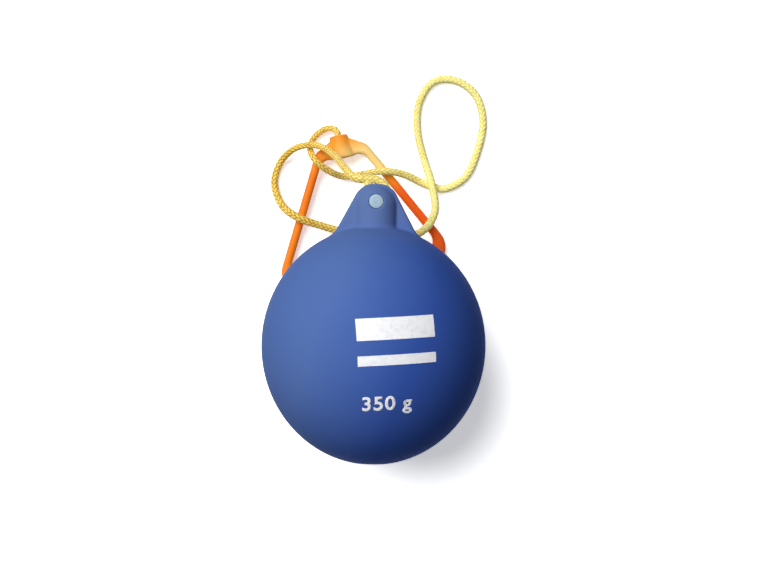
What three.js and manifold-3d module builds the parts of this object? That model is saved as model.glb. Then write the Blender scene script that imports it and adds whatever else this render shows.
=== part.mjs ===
// A throwing hammer for training and school use, laid on a floor: a hollow moulded ball
// with a lug, a braided cord that turns on a pin in the lug, and a moulded handle.
// Millimetres, +Z up. The origin is the middle of the small flat that the ball rests on,
// and +Y runs along the ball's axis towards the lug.
import * as THREE from "three";
import { mergeVertices } from "three/addons/utils/BufferGeometryUtils.js";
import Module from "manifold-3d";

const wasm = await Module();
wasm.setup();

// Shared clearances
const gap = 0.3;
const overrun = 2;

// Ball
const ballRadius = 70;
const ballHalfLength = 74.4;
const ballWall = 3;
const ballSides = 48;
const ballBands = 25;
const cavitySides = 32;
const cavityBands = 17;
const sandDepth = 19;

// Filler hole at the pole that faces away from the lug, and its plug
const fillerBoreRadius = 9;
const plugHeadRadius = 12;
const plugHeadDepth = 2;
const plugStemLength = 7;
const fillerBossWall = 3.5;
const plugKeyRadius = 4.5;
const plugKeyDepth = 4;

// Lug: a round column with a domed top, and a fin on each side of it
const columnRadius = 14;
const columnRise = 12.6;
const columnFlatHalf = 4.4;
const columnFootRadius = 2.5;
const finRadius = 14.8;
const finDrop = 0.4;
const finThickness = 12;
const finFlankAngle = THREE.MathUtils.degToRad(28);
const finEdge = 1.2;
const lugRootDepth = 14.4;

// Pin through the lug, and the slot that the cord's eye turns in
const pinRadius = 4.2;
const pinRise = 2.5;
const pinRecess = 0.8;
const pinEdge = 0.5;
const pinClearance = 0.3;
const pinRimWidth = 0.4;
const pinRimDepth = 0.6;
const slotSideClearance = 0.7;
const slotFloorClearance = 0.6;

// Cord
const cordDiameter = 5.4;
const cordSides = 10;
const cordSteps = 80;
const floorClearance = 0.35;
const eyeClearance = 0.3;
const throatArcRadius = 10;
const throatArcRise = 4.5;
const throatAngle = THREE.MathUtils.degToRad(90);
const throatLead = 4.9;
const tailLean = 2.2;
const mouthLead = 1.4;

// Handle: a three-sided moulded frame with a tapered boss where the cord comes in.
// Distances along the handle are measured from the point where its two legs would meet.
const handleApexX = -30;
const handleApexY = 153.6;
const handleTurn = THREE.MathUtils.degToRad(12.6);
const legAngle = THREE.MathUtils.degToRad(28);
const legWidth = 5.6;
const frameThickness = 7.2;
const frameEdge = 2.1;
const crownPeakAt = 17;
const crownSlope = THREE.MathUtils.degToRad(29);
const crownInnerAt = 32.3;
const gripAt = 111;
const gripRadius = 4.5;
const outerCornerRadius = 14;
const innerCornerRadius = 9;
const shoulderRadius = 9;
const crownInnerRadius = 7;
const bossTopAt = 17.7;
const bossLength = 14;
const bossTopRadius = 5.9;
const bossEndRadius = 8.3;
const bossEdge = 0.9;
const bossBoreClearance = 0.4;
const knotSeatRadius = 6;
const knotSeatDepth = 7;

// Values that follow from those above
const restHeight =
  ballRadius *
  Math.cos(Math.PI / (2 * ballBands)) *
  Math.cos(Math.PI / ballSides);
const cordRadius = cordDiameter / 2;
const columnCentreY = ballHalfLength + columnRise;
const finCentreY = columnCentreY - finDrop;
const lugTopY = finCentreY + finRadius;
const lugRootY = ballHalfLength - lugRootDepth;
const pinY = columnCentreY + pinRise;
const slotThickness = cordDiameter + 2 * slotSideClearance;
const throatArcCentreY = pinY + throatArcRise;
const bossBoreRadius = cordRadius + bossBoreClearance;
const floorLevel = cordRadius + floorClearance;
const eyeRadius = pinRadius + eyeClearance + cordRadius;
const bossEndAt = bossTopAt + bossLength;
const handlePitch = Math.asin((bossEndRadius - gripRadius) / (gripAt - bossEndAt));

const paint = (colour, roughness) =>
  new THREE.MeshStandardMaterial({ color: colour, roughness, metalness: 0 });
const materials = {
  ball: paint(0x3f62ae, 0.55),
  sand: paint(0xb39a6b, 0.95),
  plug: paint(0x35549a, 0.5),
  pin: paint(0xa9bfc4, 0.35),
  cord: paint(0xf2dc7a, 0.85),
  handle: paint(0xf26a22, 0.4),
};

// A closed geometry as a solid, and back
function solid(geometry) {
  const bare = geometry.clone();
  bare.deleteAttribute("normal");
  bare.deleteAttribute("uv");
  const merged = mergeVertices(bare, 1e-4);
  return new wasm.Manifold(
    new wasm.Mesh({
      numProp: 3,
      vertProperties: Float32Array.from(merged.attributes.position.array),
      triVerts: Uint32Array.from(merged.index.array),
    }),
  );
}

function geometryOf(body) {
  const { vertProperties, triVerts } = body.getMesh();
  const geometry = new THREE.BufferGeometry();
  geometry.setAttribute("position", new THREE.BufferAttribute(vertProperties, 3));
  geometry.setIndex(new THREE.BufferAttribute(triVerts, 1));
  const faceted = geometry.toNonIndexed();
  faceted.computeVertexNormals();
  return faceted;
}

function mesh(name, geometry, material) {
  const made = new THREE.Mesh(geometry, material);
  made.name = name;
  return made;
}

const points = (list) => list.map(([x, y]) => new THREE.Vector2(x, y));

// A body of revolution about Y, with the middle of one side facing down
function turned(profile, sides) {
  return new THREE.LatheGeometry(points(profile), sides, Math.PI / sides);
}

// A round bar along Z, centred on its own middle
function barAlongZ(radius, length, sides) {
  return new THREE.CylinderGeometry(radius, radius, length, sides).rotateX(Math.PI / 2);
}

// An ellipsoid's profile from pole to pole, with one band centred on its equator
function ellipsoid(radius, halfLength, sides, bands) {
  const profile = [];
  for (let band = 0; band <= bands; band++) {
    const angle = (band / bands - 1 / 2) * Math.PI;
    profile.push([
      band % bands === 0 ? 0 : radius * Math.cos(angle),
      halfLength * Math.sin(angle),
    ]);
  }
  return turned(profile, sides);
}

const cavity = (inset) =>
  ellipsoid(
    ballRadius - ballWall - inset,
    ballHalfLength - ballWall - inset,
    cavitySides,
    cavityBands,
  );

// Lug, about the ball's centre
function lugColumn() {
  const domeSteps = 8;
  const footSteps = 4;
  const footY = ballHalfLength * Math.sqrt(1 - (columnRadius / ballRadius) ** 2);
  const profile = [[0, lugRootY]];
  profile.push([columnRadius + columnFootRadius, lugRootY]);
  for (let step = 0; step <= footSteps; step++) {
    const angle = ((step / footSteps) * Math.PI) / 2;
    profile.push([
      columnRadius + columnFootRadius * (1 - Math.sin(angle)),
      footY + columnFootRadius * (1 - Math.cos(angle)),
    ]);
  }
  const flatAngle = Math.acos(columnFlatHalf / columnRadius);
  for (let step = 0; step <= domeSteps; step++) {
    const angle = (step / domeSteps) * flatAngle;
    profile.push([
      columnRadius * Math.cos(angle),
      columnCentreY + columnRadius * Math.sin(angle),
    ]);
  }
  profile.push([0, columnCentreY + columnRadius * Math.sin(flatAngle)]);
  return new THREE.LatheGeometry(points(profile), ballSides);
}

function lugFins() {
  const flank = new THREE.Vector2(Math.cos(finFlankAngle), Math.sin(finFlankAngle));
  const tangentY = finCentreY + finRadius * flank.y;
  const rootX = finRadius * flank.x + (tangentY - lugRootY) * Math.tan(finFlankAngle);
  const outline = new THREE.Shape();
  outline.moveTo(-rootX, lugRootY);
  outline.lineTo(rootX, lugRootY);
  outline.absarc(0, finCentreY, finRadius, finFlankAngle, Math.PI - finFlankAngle, false);
  outline.closePath();
  const depth = finThickness - 2 * finEdge;
  return new THREE.ExtrudeGeometry(outline, {
    depth,
    curveSegments: 10,
    bevelThickness: finEdge,
    bevelSize: finEdge,
    bevelOffset: -finEdge,
    bevelSegments: 2,
  }).translate(0, 0, -depth / 2);
}

// The slot runs right across the lug, so that the eye can turn from one side to the other
function eyeSlot() {
  const floorY = pinY - eyeRadius - cordRadius - slotFloorClearance;
  const height = lugTopY + overrun - floorY;
  return new THREE.BoxGeometry(2 * ballRadius, height, slotThickness).translate(
    0,
    floorY + height / 2,
    0,
  );
}

const pinHoleRadius = pinRadius + pinClearance;
const lugHalfAtPin = Math.sqrt(columnRadius ** 2 - (pinY - columnCentreY) ** 2);
const pinHalf = lugHalfAtPin - pinRecess;

function pinHole() {
  const sides = 28;
  const through = solid(barAlongZ(pinHoleRadius, 2 * columnRadius + overrun, sides));
  const rimLength = pinRimDepth + overrun;
  const rim = solid(barAlongZ(pinHoleRadius + pinRimWidth, rimLength, sides));
  const rimZ = lugHalfAtPin - pinRimDepth + rimLength / 2;
  return through
    .add(rim.translate([0, 0, rimZ]))
    .add(rim.translate([0, 0, -rimZ]))
    .translate([0, pinY, 0]);
}

// Filler: a boss inside the wall, stepped for the plug's head
const fillerSeatY = -ballHalfLength + plugHeadDepth;
const fillerBossEndY = fillerSeatY + plugStemLength;

function stepped(steps, sides) {
  const profile = [[0, steps[0][0]]];
  for (const [from, to, radius] of steps) {
    profile.push([radius, from]);
    profile.push([radius, to]);
  }
  profile.push([0, steps[steps.length - 1][1]]);
  return new THREE.LatheGeometry(points(profile), sides);
}

function ballShell() {
  const outer = solid(ellipsoid(ballRadius, ballHalfLength, ballSides, ballBands));
  const body = outer.add(solid(lugColumn())).add(solid(lugFins()));
  const boss = solid(
    stepped([[-ballHalfLength, fillerBossEndY, plugHeadRadius + fillerBossWall]], ballSides),
  ).intersect(outer);
  const bore = solid(
    stepped(
      [
        [-ballHalfLength - overrun, fillerSeatY, plugHeadRadius],
        [fillerSeatY, fillerBossEndY + overrun, fillerBoreRadius],
      ],
      cavitySides,
    ),
  );
  const shell = body
    .subtract(solid(cavity(0)))
    .add(boss)
    .subtract(bore)
    .subtract(solid(eyeSlot()))
    .subtract(pinHole());
  return geometryOf(shell.translate([0, 0, restHeight]));
}

function fillerPlug() {
  const body = solid(
    stepped(
      [
        [-ballHalfLength + gap, fillerSeatY - gap, plugHeadRadius - gap],
        [fillerSeatY - gap, fillerBossEndY, fillerBoreRadius - gap],
      ],
      cavitySides,
    ),
  );
  const key = solid(
    new THREE.CylinderGeometry(plugKeyRadius, plugKeyRadius, 2 * plugKeyDepth, 6),
  ).translate([0, -ballHalfLength, 0]);
  return geometryOf(body.subtract(key).translate([0, 0, restHeight]));
}

// Loose sand lies level in the bottom of the hollow
function sandFill() {
  const reach = 2 * (ballRadius + ballHalfLength);
  const air = solid(new THREE.BoxGeometry(reach, reach, reach)).translate([
    0,
    0,
    ballWall - restHeight + sandDepth + reach / 2,
  ]);
  return geometryOf(solid(cavity(gap)).subtract(air).translate([0, 0, restHeight]));
}

function lugPin() {
  const end = pinHalf;
  const profile = [
    [0, -end],
    [pinRadius - pinEdge, -end],
    [pinRadius, -end + pinEdge],
    [pinRadius, end - pinEdge],
    [pinRadius - pinEdge, end],
    [0, end],
  ];
  return new THREE.LatheGeometry(points(profile), 28)
    .rotateX(Math.PI / 2)
    .translate(0, pinY, restHeight);
}

// A round section swept along a path
function cordSection() {
  const outline = new THREE.Shape();
  for (let side = 0; side < cordSides; side++) {
    const angle = (side / cordSides) * 2 * Math.PI;
    const x = cordRadius * Math.cos(angle);
    const y = cordRadius * Math.sin(angle);
    if (side === 0) outline.moveTo(x, y);
    else outline.lineTo(x, y);
  }
  return outline;
}

const tube = (path, steps) =>
  new THREE.ExtrudeGeometry(cordSection(), { steps, extrudePath: path, bevelEnabled: false });

// The eye round the pin: the cord goes down one side, under the pin and up the other side,
// then bends over to the left and takes its own tail in at the throat
const throatArcCentreX = eyeRadius - throatArcRadius;
const throatHeading = new THREE.Vector3(-Math.sin(throatAngle), Math.cos(throatAngle), 0);
const throatPoint = new THREE.Vector3(
  throatArcCentreX + throatArcRadius * Math.cos(throatAngle),
  throatArcCentreY + throatArcRadius * Math.sin(throatAngle),
  restHeight,
).addScaledVector(throatHeading, throatLead);

function cordEye() {
  const bowl = [];
  const bowlSteps = 14;
  for (let step = 0; step <= bowlSteps; step++) {
    const angle = Math.PI + (step / bowlSteps) * Math.PI;
    bowl.push(
      new THREE.Vector3(
        eyeRadius * Math.cos(angle),
        pinY + eyeRadius * Math.sin(angle),
        restHeight,
      ),
    );
  }
  const bend = [];
  const bendSteps = 12;
  for (let step = 0; step <= bendSteps; step++) {
    const angle = (step / bendSteps) * throatAngle;
    bend.push(
      new THREE.Vector3(
        throatArcCentreX + throatArcRadius * Math.cos(angle),
        throatArcCentreY + throatArcRadius * Math.sin(angle),
        restHeight,
      ),
    );
  }
  const tailTop = new THREE.Vector3(
    tailLean - eyeRadius,
    throatPoint.y - cordRadius / 2,
    restHeight,
  );
  const main = new THREE.CatmullRomCurve3(
    [...bowl, ...bend, throatPoint],
    false,
    "centripetal",
  );
  const tail = new THREE.LineCurve3(tailTop, new THREE.Vector3(-eyeRadius, pinY, restHeight));
  return geometryOf(solid(tube(main, 34)).add(solid(tube(tail, 4))));
}

// The free cord's route on the floor plan, with the height of its middle.
// f lies on the floor; the other heights lift it over the handle and over itself.
const f = floorLevel;
const cordRoute = [
  [-14.4, 105.2, 68.1],
  [-20.6, 111.8, 57.5],
  [-28.4, 121.8, 34],
  [-40, 128.7, 19.4],
  [-54, 127.4, 11.2],
  [-64.2, 118.6, 4.4],
  [-68.2, 105, 3.4],
  [-62.4, 89.4, 10],
  [-51.4, 81.2, 14.9],
  [-37, 76.6, 9.4],
  [-23, 73.2, 4.8],
  [2, 68.4, 3.4],
  [19.5, 69.2, 7.2],
  [32.8, 75.8, 14.4],
  [38.6, 87, 12.6],
  [36.4, 104.8, 9.3],
  [31.2, 121.8, 3.8],
  [26.4, 141, f],
  [27.4, 160.4, f],
  [36.4, 173.8, f],
  [51, 175, f],
  [64.4, 165.8, f],
  [69.8, 149, f],
  [66.6, 128.4, f],
  [58.6, 110.6, f],
  [44.6, 102.8, 3.2],
  [31.6, 105.8, 3.6],
  [18.4, 111.1, 10],
  [5, 112.9, 15.8],
  [-21.6, 109.5, 6.2],
  [-31.6, 112.4, 12.8],
  [-40.8, 119.2, 16.5],
  [-44.6, 127.9, 9.2],
  [-41.6, 136.2, 4],
  [-34.4, 141, 5.4],
  [-28.6, 140.5, 8.4],
];

// Handle. Its own frame: +X across it, -Y from the legs' meeting point to the grip.
const toHandle = new THREE.Matrix4()
  .makeTranslation(
    handleApexX,
    handleApexY,
    gripRadius + gripAt * Math.sin(handlePitch),
  )
  .multiply(new THREE.Matrix4().makeRotationZ(handleTurn))
  .multiply(new THREE.Matrix4().makeRotationX(handlePitch));

// An outline with every corner rounded by an arc that touches both sides
function rounded(corners, radii, shape) {
  corners.forEach((corner, index) => {
    const before = corners[(index + corners.length - 1) % corners.length];
    const after = corners[(index + 1) % corners.length];
    const back = before.clone().sub(corner).normalize();
    const ahead = after.clone().sub(corner).normalize();
    const half = Math.acos(back.dot(ahead)) / 2;
    const middle = back.clone().add(ahead).normalize();
    const centre = corner.clone().addScaledVector(middle, radii[index] / Math.sin(half));
    const start = corner.clone().addScaledVector(back, radii[index] / Math.tan(half));
    const end = corner.clone().addScaledVector(ahead, radii[index] / Math.tan(half));
    const from = start.clone().sub(centre).angle();
    const to = end.clone().sub(centre).angle();
    if (index === 0) shape.moveTo(start.x, start.y);
    else shape.lineTo(start.x, start.y);
    shape.absarc(centre.x, centre.y, radii[index], from, to, false);
  });
  shape.closePath();
  return shape;
}

// Half of the frame's width where a leg's edge, moved out by offset, crosses a level
const edgeX = (at, offset) => at * Math.tan(legAngle) + offset / Math.cos(legAngle);

// The four corners of the frame's outline, from the left shoulder, turning left
function frameCorners(shoulderAt, baseAt, offset) {
  return [
    new THREE.Vector2(-edgeX(shoulderAt, offset), -shoulderAt),
    new THREE.Vector2(-edgeX(baseAt, offset), -baseAt),
    new THREE.Vector2(edgeX(baseAt, offset), -baseAt),
    new THREE.Vector2(edgeX(shoulderAt, offset), -shoulderAt),
  ];
}

// Where the crown's sloping edge, down from its peak, meets a leg's outer edge
const shoulderAt =
  (crownPeakAt / Math.tan(crownSlope) + edgeX(0, legWidth / 2)) /
  (1 / Math.tan(crownSlope) - Math.tan(legAngle));

function handleFrame() {
  const outline = rounded(
    [
      ...frameCorners(shoulderAt, gripAt + gripRadius, legWidth / 2),
      new THREE.Vector2(0, -crownPeakAt),
    ],
    [shoulderRadius, outerCornerRadius, outerCornerRadius, shoulderRadius, bossTopRadius],
    new THREE.Shape(),
  );
  outline.holes.push(
    rounded(
      frameCorners(crownInnerAt, gripAt - gripRadius, -legWidth / 2),
      [crownInnerRadius, innerCornerRadius, innerCornerRadius, crownInnerRadius],
      new THREE.Path(),
    ),
  );
  const depth = frameThickness - 2 * frameEdge;
  const frame = new THREE.ExtrudeGeometry(outline, {
    depth,
    curveSegments: 8,
    bevelThickness: frameEdge,
    bevelSize: frameEdge,
    bevelOffset: -frameEdge,
    bevelSegments: 3,
  }).translate(0, 0, -depth / 2);

  // The grip is a round bar between the two corners
  const cornerReach = outerCornerRadius / Math.tan((Math.PI / 2 - legAngle) / 2);
  const gripHalf = edgeX(gripAt + gripRadius, legWidth / 2) - cornerReach;
  const gripEnd = gripRadius - frameThickness / 2;
  const grip = new THREE.LatheGeometry(
    points([
      [0, -gripHalf],
      [gripRadius - gripEnd, -gripHalf],
      [gripRadius, -gripHalf + 4 * gripEnd],
      [gripRadius, gripHalf - 4 * gripEnd],
      [gripRadius - gripEnd, gripHalf],
      [0, gripHalf],
    ]),
    20,
  )
    .rotateZ(-Math.PI / 2)
    .translate(0, -gripAt, 0);

  const boss = new THREE.LatheGeometry(
    points([
      [0, -bossEndAt],
      [bossEndRadius - bossEdge, -bossEndAt],
      [bossEndRadius, -bossEndAt + bossEdge],
      [bossTopRadius, -bossTopAt - bossEdge],
      [bossTopRadius - bossEdge, -bossTopAt],
      [0, -bossTopAt],
    ]),
    32,
    Math.PI / 32,
  );
  const bore = stepped(
    [
      [-bossEndAt - overrun, -bossEndAt + knotSeatDepth, knotSeatRadius],
      [-bossEndAt + knotSeatDepth, -bossTopAt + overrun, bossBoreRadius],
    ],
    28,
  );
  return geometryOf(
    solid(frame).add(solid(grip)).add(solid(boss)).subtract(solid(bore)),
  );
}

// The knot that stops the cord in the boss, with the cord's last stretch in the bore
function stopperKnot() {
  const knotRadius = knotSeatRadius - gap;
  const neckRadius = cordRadius;
  const knotTop = -bossEndAt + knotSeatDepth - gap;
  const knotLength = knotSeatDepth - gap;
  const waist = knotRadius * 0.86;
  const profile = [[0, knotTop - knotLength]];
  const bulges = 2;
  const bulgeSteps = 5;
  for (let bulge = 0; bulge < bulges; bulge++) {
    for (let step = 0; step <= bulgeSteps; step++) {
      if (bulge > 0 && step === 0) continue;
      const share = step / bulgeSteps;
      const swell = Math.sin(share * Math.PI);
      profile.push([
        waist + (knotRadius - waist) * swell,
        knotTop - knotLength + ((bulge + share) * knotLength) / bulges,
      ]);
    }
  }
  profile.push([neckRadius, knotTop]);
  profile.push([neckRadius, -bossTopAt]);
  profile.push([0, -bossTopAt]);
  return new THREE.LatheGeometry(points(profile), 20);
}

function freeCord() {
  const start = throatPoint.clone().addScaledVector(throatHeading, gap);
  const bossAxis = new THREE.Vector3(0, 1, 0).transformDirection(toHandle);
  const bossMouth = new THREE.Vector3(0, -bossTopAt, 0).applyMatrix4(toHandle);
  const end = bossMouth.clone().addScaledVector(bossAxis, gap);
  const approach = bossMouth.clone().addScaledVector(bossAxis, mouthLead);
  const route = [start, start.clone().addScaledVector(throatHeading, cordRadius)];
  for (const [x, y, z] of cordRoute) route.push(new THREE.Vector3(x, y, z));
  route.push(approach, end);
  return tube(new THREE.CatmullRomCurve3(route, false, "centripetal"), cordSteps);
}

// Assembly: the head, the cord with its eye and knot, and the handle
const head = new THREE.Group();
head.add(mesh("ball_shell", ballShell(), materials.ball));
head.add(mesh("sand_fill", sandFill(), materials.sand));
head.add(mesh("filler_plug", fillerPlug(), materials.plug));
head.add(mesh("lug_pin", lugPin(), materials.pin));

const tether = new THREE.Group();
tether.add(mesh("cord_eye", cordEye(), materials.cord));
tether.add(mesh("cord", freeCord(), materials.cord));

const handle = new THREE.Group();
handle.applyMatrix4(toHandle);
handle.add(mesh("handle_frame", handleFrame(), materials.handle));
handle.add(mesh("stopper_knot", stopperKnot(), materials.cord));

const hammer = new THREE.Group();
hammer.add(head, tether, handle);

export default hammer;
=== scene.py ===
import math

import bmesh
import bpy
import numpy as np
from mathutils import Matrix, Vector


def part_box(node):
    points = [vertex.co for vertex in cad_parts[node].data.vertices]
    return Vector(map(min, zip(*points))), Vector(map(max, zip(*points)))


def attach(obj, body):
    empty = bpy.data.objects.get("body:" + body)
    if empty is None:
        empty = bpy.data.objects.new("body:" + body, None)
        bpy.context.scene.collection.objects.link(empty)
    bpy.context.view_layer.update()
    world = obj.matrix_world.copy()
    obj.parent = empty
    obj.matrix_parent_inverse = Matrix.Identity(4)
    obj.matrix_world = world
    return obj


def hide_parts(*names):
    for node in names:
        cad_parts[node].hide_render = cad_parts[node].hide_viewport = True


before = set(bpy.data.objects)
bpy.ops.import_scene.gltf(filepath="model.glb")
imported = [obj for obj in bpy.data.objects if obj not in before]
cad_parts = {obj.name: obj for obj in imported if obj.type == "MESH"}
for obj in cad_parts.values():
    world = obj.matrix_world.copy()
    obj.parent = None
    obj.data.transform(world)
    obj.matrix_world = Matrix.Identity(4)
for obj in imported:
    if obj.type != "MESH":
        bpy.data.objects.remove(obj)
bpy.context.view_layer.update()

# The hammer lies on its side on the floor: the ball's axis runs along +Y to the lug, and the
# cord and the handle lie flat beside the lug. The camera looks straight down on it, turned a
# little, so that the lug leans slightly to the right as in the photograph.
MM = 0.001
CAMERA_HEIGHT = 1100 * MM
CAMERA_X = 3.35 * MM
CAMERA_Y = 37.85 * MM
CAMERA_TURN = math.radians(1.08)
CAMERA_FOCAL_MM = 78.0
CAMERA_SENSOR_MM = 36


def placed(name, data):
    """A new object that holds the data, linked into the scene."""
    made = bpy.data.objects.new(name, data)
    bpy.context.scene.collection.objects.link(made)
    return made


camera_data = bpy.data.cameras.new("camera")
camera_data.lens = CAMERA_FOCAL_MM
camera_data.sensor_width = CAMERA_SENSOR_MM
camera = placed("camera", camera_data)
camera.location = (CAMERA_X, CAMERA_Y, CAMERA_HEIGHT)
camera.rotation_euler = (0, 0, CAMERA_TURN)
bpy.context.scene.camera = camera
bpy.context.scene.view_settings.view_transform = "Standard"


# Cord: one length of hollow braid, woven from flat polypropylene plies, six each way. It
# leaves its eye in the lug to the left, falls to the floor and lies in loops over itself and
# the handle. The route's points are in millimetres, lug end first.
CORD_DIAMETER = 5.4 * MM
CORD_RADIUS = CORD_DIAMETER / 2
PLIES = 6
BRAID_PITCH = 19 * MM
PLY_CROWN = 0.5 * MM
PLY_LIFT = 0.3 * MM
PLY_ROUNDNESS = 0.94
PLY_STEEPNESS = 1.6
RING_SPACING = 0.45 * MM
RING_POINTS = 48
STEPS_BETWEEN = 24
TIGHT_WITHIN = 15 * MM
SLACK_BEYOND = 70 * MM
TIGHT_SHARE = 0.8
FLOOR_LEVEL = 3.05
# Each tone is three colours: painted shade for the hollows, the cord's own colour, and a painted
# highlight for the crests
CORD_GOLDEN = ("#5e3803", "#c08d20", "#ffdd68")
CORD_BLEACHED = ("#a87a18", "#f7e263", "#fffcb2")
CORD_STOPS = (0.2, 0.62, 0.95)
BUMP_HEIGHT = 0.2 * MM
BLEACHED_FROM_X = -45 * MM
BLEACHED_TO_X = 35 * MM
CORD_ROUTE = [
    (-14.4, 105.2, 68.1),
    (-20.6, 111.8, 57.5),
    (-28.4, 121.8, 34),
    (-40, 128.7, 19.4),
    (-54, 127.4, 11.2),
    (-64.2, 118.6, 4.4),
    (-68.2, 105, 3.4),
    (-62.4, 89.4, 10),
    (-51.4, 81.2, 14.9),
    (-37, 76.6, 9.4),
    (-23, 73.2, 4.8),
    (2, 68.4, 3.4),
    (19.5, 69.2, 7.2),
    (32.8, 75.8, 14.4),
    (38.6, 87, 12.6),
    (36.4, 104.8, 9.3),
    (31.2, 121.8, 3.8),
    (26.4, 141, FLOOR_LEVEL),
    (27.4, 160.4, FLOOR_LEVEL),
    (36.4, 173.8, FLOOR_LEVEL),
    (51, 175, FLOOR_LEVEL),
    (64.4, 165.8, FLOOR_LEVEL),
    (69.8, 149, FLOOR_LEVEL),
    (66.6, 128.4, FLOOR_LEVEL),
    (58.6, 110.6, FLOOR_LEVEL),
    (44.6, 102.8, 3.2),
    (31.6, 105.8, 3.6),
    (18.4, 111.1, 10),
    (5, 112.9, 15.8),
    (-21.6, 109.5, 6.2),
    (-31.6, 112.4, 12.8),
    (-40.8, 119.2, 16.5),
    (-44.6, 127.9, 9.2),
    (-41.6, 136.2, 4),
    (-34.4, 141, 5.4),
    (-28.6, 140.5, 8.4),
]

# Cord eye: the cord's lug end goes round the pin in the lug's slot and is spliced back into
# itself, with its tail buried beside the throat, where the free cord starts
BALL_RADIUS = 70 * MM
BALL_HALF_LENGTH = 74.4 * MM
BALL_CENTRE = Vector((0, 0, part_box("lug_pin")[0][2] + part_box("lug_pin")[1][2])) / 2
PIN_RADIUS = 4.2 * MM
PIN_Y = 89.5 * MM
TOUCH = 0.3 * MM
EYE_RADIUS = PIN_RADIUS + TOUCH + CORD_RADIUS
THROAT_ARC_RADIUS = 10 * MM
THROAT_ARC_Y = PIN_Y + 4.5 * MM
THROAT_LEAD = 4.9 * MM
TAIL_LEAN = 2.2 * MM
MOUTH_LEAD = 1.4 * MM
EYE_STEPS = 14
THROAT_STEPS = 12

# The handle's own frame: +X across it, and -Y from the point where its legs would meet
HANDLE_APEX = Vector((-30, 153.6, 0)) * MM
HANDLE_TURN = math.radians(12.6)
GRIP_AT = 111
GRIP_RADIUS = 4.5
BOSS_TOP_AT = 17.7
BOSS_END_AT = 31.7
BOSS_TOP_RADIUS = 5.9
BOSS_END_RADIUS = 8.3
handle_pitch = math.asin((BOSS_END_RADIUS - GRIP_RADIUS) / (GRIP_AT - BOSS_END_AT))
HANDLE_APEX.z = (GRIP_RADIUS + GRIP_AT * math.sin(handle_pitch)) * MM
to_handle = (
    Matrix.Translation(HANDLE_APEX)
    @ Matrix.Rotation(HANDLE_TURN, 4, "Z")
    @ Matrix.Rotation(handle_pitch, 4, "X")
)
boss_axis = (to_handle.to_3x3() @ Vector((0, 1, 0))).normalized()
boss_mouth = to_handle @ Vector((0, -BOSS_TOP_AT * MM, 0))


def smooth_path(points, spacing):
    """Points along a centripetal Catmull-Rom curve through the given ones, evenly spaced."""
    knots = [2 * points[0] - points[1], *points, 2 * points[-1] - points[-2]]
    fine = []
    for before, start, end, after in zip(knots, knots[1:], knots[2:], knots[3:]):
        times = [0.0]
        for a, b in ((before, start), (start, end), (end, after)):
            times.append(times[-1] + math.sqrt((b - a).length))
        t0, t1, t2, t3 = times
        for step in range(STEPS_BETWEEN):
            t = t1 + (t2 - t1) * step / STEPS_BETWEEN
            a1 = before.lerp(start, (t - t0) / (t1 - t0))
            a2 = start.lerp(end, (t - t1) / (t2 - t1))
            a3 = end.lerp(after, (t - t2) / (t3 - t2))
            b1 = a1.lerp(a2, (t - t0) / (t2 - t0))
            b2 = a2.lerp(a3, (t - t1) / (t3 - t1))
            fine.append(b1.lerp(b2, (t - t1) / (t2 - t1)))
    fine.append(points[-1])
    lengths = np.cumsum([0.0] + [(b - a).length for a, b in zip(fine, fine[1:])])
    count = max(2, round(lengths[-1] / spacing)) + 1
    wanted = np.linspace(0, lengths[-1], count)
    columns = [np.interp(wanted, lengths, [p[axis] for p in fine]) for axis in range(3)]
    return [Vector(p) for p in zip(*columns)]


def wire(tree, node, inputs):
    """Each input of a node, linked from a node or a socket or set to a value."""
    for key, value in inputs.items():
        if isinstance(value, bpy.types.Node):
            value = next(socket for socket in value.outputs if socket.enabled)
        if isinstance(value, bpy.types.NodeSocket):
            tree.links.new(value, node.inputs[key])
        else:
            node.inputs[key].default_value = value


def add(tree, kind, inputs, **settings):
    """A new node with its settings, and with its inputs linked or set."""
    node = tree.nodes.new(kind)
    for name, value in settings.items():
        setattr(node, name, value)
    wire(tree, node, inputs)
    return node


def colour(code):
    """An sRGB hex colour as a linear RGBA value."""
    parts = [int(code[i : i + 2], 16) / 255 for i in (1, 3, 5)]
    linear = [p / 12.92 if p <= 0.04045 else ((p + 0.055) / 1.055) ** 2.4 for p in parts]
    return (*linear, 1)


def material(name):
    """A new material with its tree, its shader and the point on the object that it shades."""
    made = bpy.data.materials.new(name)
    made.use_nodes = True
    tree = made.node_tree
    place = add(tree, "ShaderNodeTexCoord", {}).outputs["Object"]
    return made, tree, tree.nodes["Principled BSDF"], place


def shades(ramp, *stops):
    """A colour ramp that is given its stops, (position, sRGB hex) pairs in rising order."""
    elements = ramp.color_ramp.elements
    for element, (position, code) in zip(elements, (stops[0], stops[-1])):
        element.position = position
        element.color = colour(code)
    for position, code in stops[1:-1]:
        elements.new(position).color = colour(code)
    return ramp


# Woven polypropylene: glossy flat plies. Their colour is painted lighter on the crests
# (painted highlight) and a warm dark where one ply dives under the next (painted shade),
# and the whole cord glows faintly (painted light). The fibres are drawn far coarser than
# real ones, so that they show.
MOTTLE_SIZE = 3.85 * MM
MOTTLE_SWING = 0.5
FIBRE_WIDTH = 0.385 * MM
braid_material, tree, shader, place = material("woven_polypropylene_yellow")
dip = add(tree, "ShaderNodeAttribute", {}, attribute_name="dip").outputs["Fac"]
inputs = {"Vector": place, "Scale": 1 / MOTTLE_SIZE, "Detail": 3.0}
mottle = add(tree, "ShaderNodeTexNoise", inputs)
inputs = {0: mottle, 1: MOTTLE_SWING, 2: -MOTTLE_SWING / 2}
uneven = add(tree, "ShaderNodeMath", inputs, operation="MULTIPLY_ADD")
level = add(tree, "ShaderNodeMath", {0: dip, 1: uneven}, operation="ADD")
along_x = add(tree, "ShaderNodeSeparateXYZ", {0: place}).outputs["X"]
inputs = {"Value": along_x, "From Min": BLEACHED_FROM_X, "From Max": BLEACHED_TO_X}
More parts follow.
